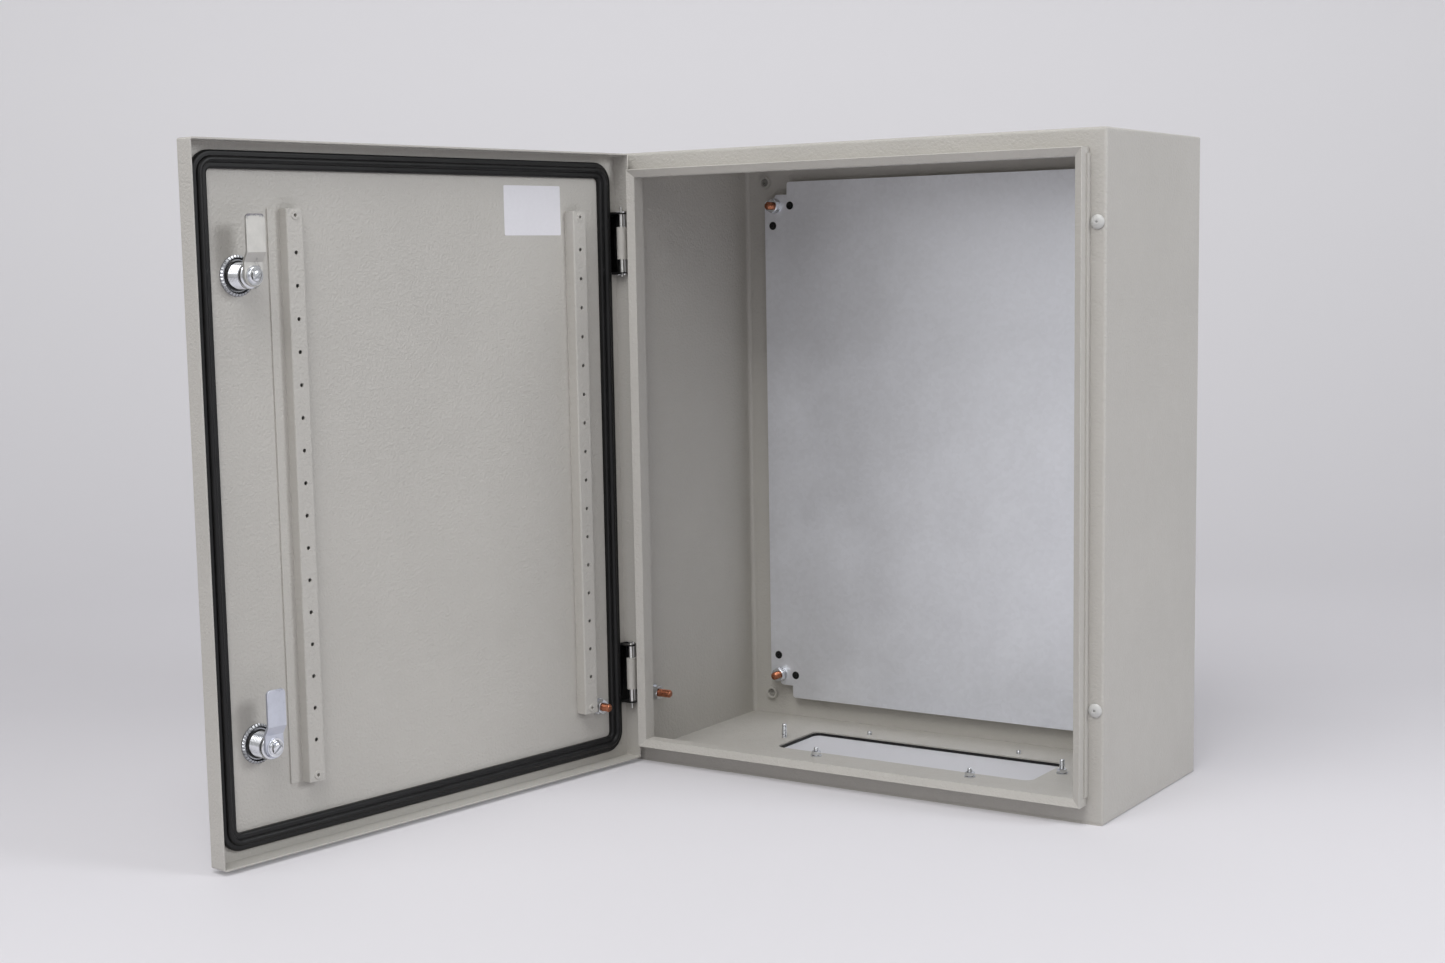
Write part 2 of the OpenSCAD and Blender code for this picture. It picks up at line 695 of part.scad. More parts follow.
module door_pan() intersection() {
    union() {
        translate([bend_r, 0, bend_r]) cube([door_w - 2 * bend_r, sheet, door_h - 2 * bend_r]);
        door_side(door_h);
        translate([door_w, 0, 0]) mirror([1, 0, 0]) door_side(door_h);
        translate([door_w, 0, 0]) rotate([0, -90, 0]) door_side(door_w);
        translate([0, 0, door_h]) rotate([0, 90, 0]) door_side(door_w);
    }
    upright() linear_extrude(door_rim) rounded([door_w, door_h], bend_r);
    door_edge_rounding();
}

// The pan's outer form, with all four front edges rounded.
module door_edge_rounding() intersection() {
    linear_extrude(door_h) rounded_front(door_w);
    translate([0, 0, door_h]) rotate([0, 90, 0]) linear_extrude(door_w) rounded_front(door_h);
}

module rounded_front(w) difference() {
    square([w, door_rim]);
    bend_cut(bend_r);
    translate([w, 0]) mirror([1, 0]) bend_cut(bend_r);
}

module door_shell() color(paint) door_leaf() difference() {
    translate([door_x[0], -door_out, door_z[0]]) door_pan();
    for (z = hinge_z) translate([door_x[0] - eps, -door_out + lip, z - cutout_half])
        cube([sheet + 2 * eps, door_rim, 2 * cutout_half]);
    for (z = lock_z) rod([lock_x, z], -door_out - eps, skin + eps, lock_d + lock_clear);
}

seal_bed = 2.6; // height of the seal's flat bed
seal_top = 4.6; // height of its shoulders
seal_edge = 2.2; // radius of the shoulders
seal_ridge = 3; // radius of the ridge
seal_draw = 0.4; // the bed's edges stand this far inside the seal's width

// Section of the foamed seal: a flat bed with a rounded ridge along its middle.
module seal_section() union() {
    translate([seal_draw, 0]) square([seal_w - 2 * seal_draw, seal_bed]);
    translate([seal_bed, seal_edge]) square([seal_w - 2 * seal_bed, seal_top - seal_edge]);
    for (x = [seal_bed, seal_w - seal_bed]) translate([x, seal_top - seal_edge]) circle(seal_edge);
    translate([seal_w / 2, seal_h - seal_ridge]) circle(seal_ridge);
}

// Runs a section of height up to tall round a rectangle of outer size [w, h], x going inward.
module round_frame(w, h, r, tall) {
    for (s = [0, 1]) {
        translate([s * w, 0]) mirror([s, 0]) translate([0, r, 0]) rotate([90, 0, 180])
            mirror([1, 0, 0]) linear_extrude(h - 2 * r) children();
        translate([0, s * h]) mirror([0, s]) translate([r, 0, 0]) rotate([90, 0, 90])
            linear_extrude(w - 2 * r) children();
        for (t = [0, 1]) translate([s * w, t * h]) mirror([s, 0]) mirror([0, t])
            translate([r, r]) rotate([0, 0, 180]) rotate_extrude(angle = 90)
                translate([r, 0]) mirror([1, 0]) intersection() {
                    children();
                    translate([0, -eps]) square([r, tall + 2 * eps]);
                }
    }
}

// The seal's outer edges, from the cabinet's front lower left corner.
seal_hinge = 3.4; // how far the seal reaches past the collar's outer face at the hinge side
seal_free = 5.5; // and at the free side
seal_low = 4; // and at the bottom
seal_high = 7.5; // and at the top
seal_x = [band_side - seal_hinge, body_w - band_side + seal_free];
seal_z = [band_bottom - seal_low, body_h - band_top + seal_high];

module door_gasket() color(black) door_leaf() translate([seal_x[0], skin, seal_z[0]]) upright()
    round_frame(seal_x[1] - seal_x[0], seal_z[1] - seal_z[0], seal_r, seal_h) seal_section();

// ---------- door profiles ----------

// Section of a profile: x runs from the outer flange's edge inward, y runs back from the skin.
module profile_section() union() {
    square([profile_flange + sheet, sheet]);
    difference() {
        translate([profile_flange, 0]) square([profile_face, profile_h]);
        translate([profile_flange + sheet, -eps])
            square([profile_face - 2 * sheet, profile_h - sheet + eps]);
        translate([profile_flange, profile_h]) mirror([0, 1]) bend_cut(sheet);
        translate([profile_flange + profile_face, profile_h]) mirror([1, 1]) bend_cut(sheet);
    }
}

profile_hole_x = profile_flange + profile_face / 2;
profile_hole_z = [for (i = [0 : profile_holes - 1]) (i - (profile_holes - 1) / 2) * profile_pitch];
profile_end_z = profile_l / 2 - profile_end;
flange_gap = 0.2; // flange left beside the web where it is cut back
rivet_d = 5;
rivet_head = [8, 7]; // diameters of the rivet's head at its foot and its top
rivet_head_h = 0.7;
rivet_bore = 3;
rivet_depth = 4;

module profile() difference() {
    translate([0, 0, -profile_l / 2]) linear_extrude(profile_l) profile_section();
    for (z = profile_hole_z) rod([profile_hole_x, z], profile_h / 2, profile_h + eps, profile_hole);
    for (s = [-1, 1]) rod([profile_hole_x, s * profile_end_z], profile_h / 2, profile_h + eps, rivet_d);
}

module at_free_profile() door_leaf() translate([profile_edge_free, skin, door_mid])
    mirror([1, 0, 0]) children();
module at_hinge_profile() door_leaf() translate([profile_hinge_in, skin, door_mid]) children();

module profile_free_side() color(paint) at_free_profile() profile();

module profile_hinge_side() color(paint) at_hinge_profile() difference() {
    profile();
    for (s = [-1, 1])
        translate([-eps, -eps, s * (profile_l / 2 - profile_cut / 2) - profile_cut / 2 - eps])
        cube([profile_flange + eps - flange_gap, profile_h, profile_cut + 2 * eps]);
}

// A hollow rivet at each end of both profiles, from the skin through the face.
module end_rivet() difference() {
    union() {
        cylinder(d = rivet_d, h = profile_h);
        translate([0, 0, profile_h]) cylinder(d1 = rivet_head[0], d2 = rivet_head[1], h = rivet_head_h);
    }
    translate([0, 0, profile_h - rivet_depth])
        cylinder(d = rivet_bore, h = rivet_depth + rivet_head_h + eps);
}

module end_rivets() for (s = [-1, 1])
    translate([profile_hole_x, 0, s * profile_end_z]) upright() end_rivet();

module profile_rivets() color(paint) {
    at_free_profile() end_rivets();
    at_hinge_profile() end_rivets();
}

// What sits on the door's earth stud, drawn from the skin into the cabinet.
module on_door_earth(from) door_leaf() translate([door_earth_in, skin + from, door_earth_up])
    upright() children();

module door_earth_stud() color(copper) on_door_earth(0) stud(stud_d, washer_t + nut_h + stud_show);
module door_earth_washer() color(chrome) on_door_earth(0) washer(washer_d, washer_t, stud_d);
module door_earth_nut() color(chrome) on_door_earth(washer_t) hex_nut(nut_af, nut_h, stud_d);

// ---------- locks ----------

lock_clear = 0.4; // how much wider than the housing its hole in the door is
lock_seal_t = 1;
lock_flange_t = 3;
flange_bevel = 1;
lock_face = -door_out - lock_seal_t - lock_flange_t;
housing_bevel = 0.8;
bolt_d = 8;
bolt_head_h = 4.3;
bolt_slot = [1.6, 1.4]; // width and depth of the slot
square_w = 8; // the rotor's square end, which carries the cam
key_depth = 8; // depth of the key way
key_ring = 2; // width of the rotor's rim round the key way
key_pin_d = 5;
key_bit = 3; // width of the two bits
lock_washer_d = 16;
lock_washer_t = 1.2;
ring_t = 1; // floor of the serrated ring
ring_rim = 1.4; // its height at the edge
ring_h = 3; // and on its crest
nut_ring = 1.4; // width of the black nut's wall
lock_nut_h = 1.8;
lock_nut_bevel = 0.5;
ring_slope = 1.6; // width of the ring's outer slope
ring_dish = [2.4, 3.2]; // the dish's edge at its floor and at the crest, from the housing
ring_tooth_d = 1.6;

// A piece on lock number i's axis, drawn from depth y inward.
module at_lock(i, y) door_leaf() translate([lock_x, y, lock_z[i]]) upright() children();

// Threaded housing with an outside flange, bored for the rotor.
module lock_housing(i) color(chrome) at_lock(i, lock_face) difference() {
    union() {
        cylinder(d1 = lock_flange_d - 2 * flange_bevel, d2 = lock_flange_d, h = flange_bevel);
        translate([0, 0, flange_bevel]) cylinder(d = lock_flange_d, h = lock_flange_t - flange_bevel);
        cylinder(d = lock_d, h = housing_end - lock_face - housing_bevel);
        translate([0, 0, housing_end - lock_face - housing_bevel])
            cylinder(d1 = lock_d, d2 = lock_d - 2 * housing_bevel, h = housing_bevel);
    }
    translate([0, 0, -eps])
        cylinder(r = rotor_d / 2 + rotor_clear, h = housing_end - lock_face + 2 * eps);
}

module lock_seal(i) color(black) at_lock(i, -door_out - lock_seal_t)
    washer(lock_flange_d - 1, lock_seal_t, lock_d);

// Dished ring with serrations round its edge, on the inside of the skin.
module lock_ring(i) color(chrome) at_lock(i, skin) difference() {
    rotate_extrude() polygon([[lock_d / 2, 0], [lock_ring_d / 2, 0], [lock_ring_d / 2, ring_rim],
        [lock_ring_d / 2 - ring_slope, ring_h], [lock_d / 2 + ring_dish[1], ring_h],
        [lock_d / 2 + ring_dish[0], ring_t], [lock_d / 2, ring_t]]);
    for (a = [0 : 15 : 345]) rotate([0, 0, a])
        translate([lock_ring_d / 2, 0, ring_rim]) cylinder(d = ring_tooth_d, h = ring_h, $fn = 16);
}

module lock_nut(i) color(black) at_lock(i, skin + ring_t) rotate_extrude() polygon([[lock_d / 2, 0],
    [lock_d / 2 + nut_ring, 0], [lock_d / 2 + nut_ring, lock_nut_h - lock_nut_bevel],
    [lock_d / 2 + nut_ring - lock_nut_bevel, lock_nut_h], [lock_d / 2, lock_nut_h]]);

// Rotor with a double-bit key way in its face and a square end for the cam.
module lock_rotor(i) color(chrome) at_lock(i, lock_face + 1) difference() {
    union() {
        cylinder(d = rotor_d, h = cam_low - lock_face - 1);
        translate([-square_w / 2, -square_w / 2, 0])
            cube([square_w, square_w, cam_low + cam_t - lock_face - 1]);
    }
    translate([0, 0, -eps]) difference() {
        cylinder(d = rotor_d - 2 * key_ring, h = key_depth + eps);
        cylinder(d = key_pin_d, h = key_depth + eps);
        translate([-rotor_d / 2, -key_bit / 2, 0]) cube([rotor_d, key_bit, key_depth + eps]);
    }
}

cam_near = 11; // the cam's inner half ends here, measured from the lock's axis
cam_far = 19.8; // and its outer half starts here
cam_corner = 4; // corner radius of the cam's tip
cam_bend = 0.9; // how far the bend's slopes are offset, so that the sheet keeps its thickness

// Bent cam: its inner half on the rotor's square, its outer half further back.
module lock_cam(i) color(zinc) at_lock(i, cam_low) difference() {
    union() {
        cylinder(d = cam_w, h = cam_t);
        translate([-cam_w / 2, 0, 0]) cube([cam_w, cam_near, cam_t]);
        intersection() {
            translate([cam_w / 2, 0, 0]) rotate([0, -90, 0]) linear_extrude(cam_w)
                polygon([[0, cam_near - 0.3], [cam_t, cam_near - 0.3], [3 * cam_t, cam_far - cam_t / 2],
                    [3 * cam_t, cam_reach], [2 * cam_t, cam_reach], [2 * cam_t, cam_far],
                    [0, cam_near + cam_bend]]);
            linear_extrude(4 * cam_t) cam_outline();
        }
    }
    translate([-square_w / 2, -square_w / 2, -eps]) cube([square_w, square_w, cam_t + 2 * eps]);
}

module cam_outline() translate([-cam_w / 2, 0]) union() {
    square([cam_w, cam_reach - cam_corner]);
    translate([cam_corner, 0]) square([cam_w - 2 * cam_corner, cam_reach]);
    for (x = [cam_corner, cam_w - cam_corner]) translate([x, cam_reach - cam_corner]) circle(cam_corner);
}

module lock_washer(i) color(chrome) at_lock(i, cam_low + cam_t)
    washer(lock_washer_d, lock_washer_t, bolt_d);

// Slotted hexagon bolt that clamps the cam.
module lock_bolt(i) color(chrome) at_lock(i, cam_low + cam_t) difference() {
    union() {
        cylinder(d = bolt_d, h = lock_washer_t + 1);
        translate([0, 0, lock_washer_t]) hex_head(nut_af, bolt_head_h);
    }
    translate([-nut_af, -bolt_slot[0] / 2, lock_washer_t + bolt_head_h - bolt_slot[1]])
        cube([2 * nut_af, bolt_slot[0], bolt_head_h]);
}

module hex_head(af, h) intersection() {
    cylinder(d = af / cos(30), h = h, $fn = 6);
    union() {
        cylinder(d = af * nut_corner, h = 0.7 * h);
        translate([0, 0, 0.7 * h]) cylinder(d1 = af * nut_corner, d2 = 0.9 * af, h = 0.3 * h);
    }
}

module top_lock_housing() lock_housing(0);
module bottom_lock_housing() lock_housing(1);
module top_lock_seal() lock_seal(0);
module bottom_lock_seal() lock_seal(1);
module top_lock_ring() lock_ring(0);
module bottom_lock_ring() lock_ring(1);
module top_lock_nut() lock_nut(0);
module bottom_lock_nut() lock_nut(1);
module top_lock_rotor() lock_rotor(0);
module bottom_lock_rotor() lock_rotor(1);
module top_lock_cam() lock_cam(0);
module bottom_lock_cam() lock_cam(1);
module top_lock_washer() lock_washer(0);
module bottom_lock_washer() lock_washer(1);
module top_lock_bolt() lock_bolt(0);
module bottom_lock_bolt() lock_bolt(1);

body_shell();
back_panel();
wall_bushes();
mounting_plate();
plate_studs();
plate_spacers();
plate_washers();
plate_nuts();
gland_plate();
gland_gasket();
gland_studs();
gland_washers();
gland_nuts();
blanking_plugs();
body_earth_stud();
body_earth_washer();
body_earth_nut();
top_hinge_barrel();
bottom_hinge_barrel();
door_shell();
door_gasket();
profile_free_side();
profile_hinge_side();
profile_rivets();
door_earth_stud();
door_earth_washer();
door_earth_nut();
top_hinge_bracket();
bottom_hinge_bracket();
top_hinge_pin();
bottom_hinge_pin();
top_lock_housing();
bottom_lock_housing();
top_lock_seal();
bottom_lock_seal();
top_lock_ring();
bottom_lock_ring();
top_lock_nut();
bottom_lock_nut();
top_lock_rotor();
bottom_lock_rotor();
top_lock_cam();
bottom_lock_cam();
top_lock_washer();
bottom_lock_washer();
top_lock_bolt();
bottom_lock_bolt();
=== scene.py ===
"""Looks for the wall-mounted DC combiner enclosure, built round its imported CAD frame.

Lengths are in metres, in the frame of the part: +Z up, the door side towards -Y, the wall at Y = 0.
"""

import json
import math

import bmesh
import bpy
from mathutils import Matrix, Vector


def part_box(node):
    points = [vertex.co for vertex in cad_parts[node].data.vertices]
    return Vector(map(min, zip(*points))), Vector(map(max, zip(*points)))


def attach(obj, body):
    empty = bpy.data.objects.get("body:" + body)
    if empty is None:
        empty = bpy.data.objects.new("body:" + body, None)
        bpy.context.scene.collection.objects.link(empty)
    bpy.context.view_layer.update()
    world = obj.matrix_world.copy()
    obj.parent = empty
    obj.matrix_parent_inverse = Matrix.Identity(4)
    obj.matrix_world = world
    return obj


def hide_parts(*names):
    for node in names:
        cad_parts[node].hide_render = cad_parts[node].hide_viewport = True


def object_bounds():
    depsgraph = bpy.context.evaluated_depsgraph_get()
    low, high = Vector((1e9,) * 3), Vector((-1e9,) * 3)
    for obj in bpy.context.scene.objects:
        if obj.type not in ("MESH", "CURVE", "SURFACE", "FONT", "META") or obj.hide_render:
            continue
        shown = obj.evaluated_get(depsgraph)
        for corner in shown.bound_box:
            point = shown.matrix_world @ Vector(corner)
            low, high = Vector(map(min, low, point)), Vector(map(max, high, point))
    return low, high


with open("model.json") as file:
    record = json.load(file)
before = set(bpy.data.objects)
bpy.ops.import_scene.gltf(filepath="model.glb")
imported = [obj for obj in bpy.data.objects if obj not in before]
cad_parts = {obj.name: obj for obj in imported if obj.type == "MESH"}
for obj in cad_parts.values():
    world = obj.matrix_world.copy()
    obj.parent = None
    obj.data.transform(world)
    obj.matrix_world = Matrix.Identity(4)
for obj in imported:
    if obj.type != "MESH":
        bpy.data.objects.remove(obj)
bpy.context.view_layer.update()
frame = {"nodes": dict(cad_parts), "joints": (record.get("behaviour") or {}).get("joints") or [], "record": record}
NODES = frame["nodes"]
JOINTS = {j["name"]: j for j in frame["joints"]}
MM = 0.001

# The door's pieces are drawn with the door shut, then swung open to where it rests.
HINGE = JOINTS["door_hinge"]
PIVOT = Matrix.Translation(HINGE["pos_m"])
DOOR = PIVOT @ Matrix.Rotation(-math.radians(max(HINGE["range_deg"])), 4, "Z") @ PIVOT.inverted()
CABINET = Matrix.Identity(4)


def put(name, data):
    """A new object in the scene."""
    obj = bpy.data.objects.new(name, data)
    bpy.context.scene.collection.objects.link(obj)
    return obj


# ---------- camera ----------

IMAGE_WIDTH = 1445.0
FOCAL_PIXELS = 2039.9
SENSOR = 36.0  # millimetres
CAMERA_PLACE = (0.9266, -1.8524, 0.1911)
CAMERA_SHIFT = (0.0218, 0.0200)
CAMERA_REACH = 60  # metres
YAW, PITCH, ROLL = (math.radians(a) for a in (34.125, 6.852, 1.087))
AHEAD = Vector((-math.sin(YAW), math.cos(YAW), 0))  # level, away from the camera
ACROSS = Vector((math.cos(YAW), math.sin(YAW), 0))  # level, to the camera's right
UP = Vector((0, 0, 1))


def make_camera():
    forward = math.cos(PITCH) * AHEAD - math.sin(PITCH) * UP
    tilted = math.sin(PITCH) * AHEAD + math.cos(PITCH) * UP
    right = math.cos(ROLL) * ACROSS - math.sin(ROLL) * tilted
    top = math.sin(ROLL) * ACROSS + math.cos(ROLL) * tilted
    data = bpy.data.cameras.new("camera")
    data.sensor_width = SENSOR
    data.lens = FOCAL_PIXELS * SENSOR / IMAGE_WIDTH
    data.shift_x, data.shift_y = CAMERA_SHIFT
    data.clip_end = CAMERA_REACH
    camera = put("camera", data)
    turn = Matrix((right, top, -forward)).transposed().to_4x4()
    camera.matrix_world = Matrix.Translation(CAMERA_PLACE) @ turn
    bpy.context.scene.camera = camera


make_camera()

# ---------- node helpers ----------


def linear(r, g, b):
    """A colour written as 0-255 sRGB, as Blender wants it."""
    def one(c):
        c /= 255
        return c / 12.92 if c <= 0.04045 else ((c + 0.055) / 1.055) ** 2.4
    return (one(r), one(g), one(b), 1.0)


def plain(level):
    return (level, level, level, 1)


def new_material(name):
    """A material, its node tree and its shader."""
    m = bpy.data.materials.new(name)
    m.use_nodes = True
    return m, m.node_tree, m.node_tree.nodes["Principled BSDF"]


def feed(tree, node, inputs):
    """Gives each named input its constant, or links it to the output given."""
    for key, value in inputs.items():
        if isinstance(value, bpy.types.NodeSocket):
            tree.links.new(value, node.inputs[key])
        else:
            node.inputs[key].default_value = value


def add(tree, kind, inputs, **settings):
    node = tree.nodes.new(kind)
    for key, value in settings.items():
        setattr(node, key, value)
    feed(tree, node, inputs)
    return node


def maths(tree, operation, *operands):
    """The result of a Math node, whose operands are outputs or numbers."""
    node = add(tree, "ShaderNodeMath", dict(enumerate(operands)), operation=operation)
    return node.outputs["Value"]


def object_space(tree):
    return add(tree, "ShaderNodeTexCoord", {}).outputs["Object"]


def split(tree, vector):
    """The X, Y and Z outputs of a vector."""
    return add(tree, "ShaderNodeSeparateXYZ", {"Vector": vector}).outputs


def noise(tree, scale, detail=2.0, rough=0.5, stretch=None):
    """Object-space noise in features per metre; stretch scales the space along each axis."""
    where = object_space(tree)
    if stretch:
        mapping = add(tree, "ShaderNodeMapping", {"Vector": where, "Scale": stretch})
        where = mapping.outputs["Vector"]
    inputs = {"Vector": where, "Scale": scale, "Detail": detail, "Roughness": rough}
    return add(tree, "ShaderNodeTexNoise", inputs).outputs["Fac"]


def ramp(tree, source, stops):
    """A colour ramp over source, with its stops as (position, colour)."""
    node = add(tree, "ShaderNodeValToRGB", {"Fac": source})
    elements = node.color_ramp.elements
    elements[0].position, elements[0].color = stops[0]
    elements[1].position, elements[1].color = stops[-1]
    for position, colour in stops[1:-1]:
        elements.new(position).color = colour
    return node.outputs["Color"]


def span(tree, source, low, high, from_low=0.3, from_high=0.7):
    """Source, taken from its own range to the range from low to high."""
    inputs = {"Value": source, "From Min": from_low, "From Max": from_high,
              "To Min": low, "To Max": high}
    return add(tree, "ShaderNodeMapRange", inputs).outputs["Result"]


def bump(tree, *layers):
    """Chains bump nodes; each layer is (height output, distance in metres, strength)."""
    inputs = {}
    for height, distance, strength in layers:
        inputs.update({"Height": height, "Distance": distance, "Strength": strength})
        inputs["Normal"] = add(tree, "ShaderNodeBump", inputs).outputs["Normal"]
    return inputs["Normal"]


def shades(base, spread):
    """A colour a little under base and one a little over it."""
    return [tuple(min(1.0, c * (1 + s)) for c in base[:3]) + (1.0,) for s in (-spread, spread)]


def clouded(tree, source, base, spread, start=0.3, end=0.7):
    """Base, from darker to lighter as source goes from start to end."""
    low, high = shades(base, spread)
    return ramp(tree, source, [(start, low), (end, high)])


# ---------- materials ----------


def make_paint(name, base, rough=0.42, grain=1.0):
    """Powder coat: an orange-peel grain, with faint clouding of its colour and gloss."""
    m, t, s = new_material(name)
    peel = noise(t, 420, detail=1.5)
    fine = noise(t, 1300, detail=1.0)
    feed(t, s, {
        "Base Color": clouded(t, noise(t, 9, detail=3, rough=0.55), base, 0.025),
        "Roughness": span(t, noise(t, 60), rough - 0.04, rough + 0.06),
        "Specular IOR Level": 0.45,
        "Normal": bump(t, (peel, 0.0010 * grain, 0.6), (fine, 0.0003 * grain, 0.6)),
    })
    return m


def make_zinc_sheet(name, base, rough=0.42, metallic=0.7, spread=0.05):
    """Galvanised sheet: flat grey crystals, a rolled grain and a low sheen."""
    m, t, s = new_material(name)
    crystals = add(t, "ShaderNodeTexVoronoi", {"Vector": object_space(t), "Scale": 260})
    grey = add(t, "ShaderNodeSeparateColor", {"Color": crystals.outputs["Color"]}).outputs["Red"]
    level = maths(t, "MULTIPLY_ADD", grey, 0.25, noise(t, 14, detail=4, rough=0.6))
    rolled = noise(t, 700, rough=0.6, stretch=(0.05, 1.0, 1.0))
    feed(t, s, {
        "Base Color": clouded(t, level, base, spread, 0.35, 0.95),
        "Metallic": metallic,
        "Roughness": span(t, level, rough - 0.06, rough + 0.08, 0.3, 0.9),
        "Normal": bump(t, (rolled, 0.0001, 0.2)),
    })
    return m


def make_metal(name, base, rough, spread=0.05):
    """Plated or polished metal, with uneven gloss and fine scratches."""
    m, t, s = new_material(name)
    cloud = noise(t, 160, detail=3, rough=0.6)
    scratches = noise(t, 900, rough=0.6)
    feed(t, s, {
        "Base Color": clouded(t, cloud, base, spread),
        "Metallic": 1.0,
        "Roughness": span(t, cloud, rough * 0.8, rough * 1.25),
        "Normal": bump(t, (scratches, 0.00002, 0.2)),
    })
    return m


def make_passivated(name, base, dark_tone, tip=None):
    """Zinc plate on stamped steel, dull and mottled, with darker patches where the plating has stained.

    tip is the pair of heights between which the piece turns darker towards its upper end.
    """
    m, t, s = new_material(name)
    mottle = noise(t, 420, detail=4, rough=0.65)
    level = maths(t, "MULTIPLY_ADD", mottle, 0.45, noise(t, 60, detail=3, rough=0.6))
    # darker towards the upper end, between the heights in tip
    if tip:
        height = split(t, object_space(t))["Z"]
        level = maths(t, "SUBTRACT", level, span(t, height, 0.0, 0.3, *tip))
    low, high = shades(base, 0.07)
    feed(t, s, {
        "Base Color": ramp(t, level, [(0.42, dark_tone), (0.56, low), (0.95, high)]),
        "Metallic": 0.6,
        "Roughness": span(t, mottle, 0.32, 0.52),
        "Normal": bump(t, (mottle, 0.00005, 0.3)),
    })
    return m


def make_rubber(name, base, rough=0.42):
    """Foamed polyurethane or soft plastic: a fine skin and a few soft swellings."""
    m, t, s = new_material(name)
    cloud = noise(t, 45, detail=3, rough=0.6)
    swellings = noise(t, 90)
    pores = noise(t, 1400, rough=0.6)
    feed(t, s, {
        "Base Color": clouded(t, cloud, base, 0.25),
        "Roughness": span(t, cloud, rough - 0.08, rough + 0.08),
        "Specular IOR Level": 0.35,
        "Normal": bump(t, (swellings, 0.0006, 0.35), (pores, 0.0001, 0.3)),
    })
    return m


def make_sticker(name, base):
    """A plain paper-faced label: nearly flat white, with a faint fibre and a satin laminate."""
    m, t, s = new_material(name)
    fibre = noise(t, 300, detail=3, rough=0.6)
    feed(t, s, {
        "Base Color": clouded(t, fibre, base, 0.015),
        "Roughness": span(t, noise(t, 40), 0.38, 0.5),
        "Normal": bump(t, (fibre, 0.00003, 0.3)),
    })
    return m


PAINT = make_paint("grey_paint", linear(196, 193, 187))
ZINC_SHEET = make_zinc_sheet("galvanised_sheet", linear(240, 242, 248))
GLAND_SHEET = make_zinc_sheet("bright_sheet", linear(222, 222, 227), rough=0.4, metallic=0.05,
                              spread=0.02)
ZINC = make_metal("zinc_plate", linear(216, 218, 221), rough=0.26)
CAM_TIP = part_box("top_lock_cam")[1].z
# The top cam turns darker towards its upper end.
CAM_TOP = make_passivated("passivated_zinc", linear(203, 201, 196), linear(120, 118, 124),
                          tip=(CAM_TIP - 6 * MM, CAM_TIP - 1 * MM))
CAM_LOW = make_passivated("passivated_zinc_blue", linear(206, 209, 220), linear(140, 142, 160))
CHROME = make_metal("bright_chrome", linear(222, 224, 228), rough=0.16)
RING = make_metal("lock_ring", linear(168, 170, 174), rough=0.24)
SATIN = make_metal("satin_chrome", linear(226, 226, 224), rough=0.34)
CAP = make_paint("cap_grey", linear(208, 208, 206), rough=0.3, grain=0.2)
COPPER = make_metal("copper_plate", linear(166, 108, 82), rough=0.27, spread=0.16)
SEAL = make_rubber("black_seal", linear(15, 15, 16))
PLUG = make_rubber("grey_plug", linear(150, 148, 142), rough=0.5)
BLACK = make_paint("black_steel", linear(26, 26, 26), rough=0.34, grain=0.3)
STICKER = make_sticker("white_label", linear(236, 235, 240))

SLOTS = {
    "grey_paint": PAINT,
    "galvanised_sheet": ZINC_SHEET,
    "zinc_plate": ZINC,
    "bright_chrome": CHROME,
    "copper_plate": COPPER,
    "black_seal": SEAL,
    "black_steel": BLACK,
}
NODE_SLOT = {part["node"]: part["material_slot"] for part in frame["record"]["subparts"]}
NODE_FINISH = {
    "gland_plate": GLAND_SHEET,
    "top_lock_cam": CAM_TOP,
    "bottom_lock_cam": CAM_LOW,
    "top_hinge_pin": SATIN,
    "bottom_hinge_pin": SATIN,
}


def dress(obj, material):
    obj.data.materials.clear()
    obj.data.materials.append(material)


for node_name, node_object in NODES.items():
    dress(node_object, NODE_FINISH.get(node_name, SLOTS[NODE_SLOT[node_name]]))

# ---------- rounded sheet edges ----------

WELD_GAP = 1e-5
FLAT_ANGLE = math.radians(0.2)  # faces closer to one plane than this become one face
EDGE_ANGLE = math.radians(40)  # edges sharper than this are rounded
EDGE_WIDTHS = {
    0.45 * MM: ("body_shell", "door_shell"),
    0.4 * MM: ("wall_bushes", "top_hinge_barrel", "bottom_hinge_barrel", "top_lock_cam",
               "bottom_lock_cam"),
    0.35 * MM: ("profile_free_side", "profile_hinge_side"),
    0.3 * MM: ("back_panel", "mounting_plate"),
    0.25 * MM: ("top_hinge_bracket", "bottom_hinge_bracket"),
}


def soften(obj, width):
    """Rounds the sharp edges of a CAD node by modifiers, so that they catch the light."""
    weld = obj.modifiers.new("weld", "WELD")
    weld.merge_threshold = WELD_GAP
    flat = obj.modifiers.new("flat", "DECIMATE")
    flat.decimate_type = "DISSOLVE"
    flat.angle_limit = FLAT_ANGLE
    bevel = obj.modifiers.new("soften", "BEVEL")
    bevel.width = width
    bevel.segments = 2
    bevel.limit_method = "ANGLE"
    bevel.angle_limit = EDGE_ANGLE
    even = obj.modifiers.new("normals", "WEIGHTED_NORMAL")
    even.keep_sharp = True


for edge_width, node_names in EDGE_WIDTHS.items():
    for node_name in node_names:
        soften(NODES[node_name], edge_width)

# ---------- new pieces ----------

SAME_POINT = 1e-6
SMALL_AROUND, AROUND, FINE_AROUND = 20, 32, 48  # points round a turned piece


def mesh_from(name, bm):
    """Turns a bmesh into a mesh, and frees it."""
    mesh = bpy.data.meshes.new(name)
    bm.to_mesh(mesh)
    bm.free()
    return mesh


def shade_smooth(mesh):
    mesh.polygons.foreach_set("use_smooth", [True] * len(mesh.polygons))


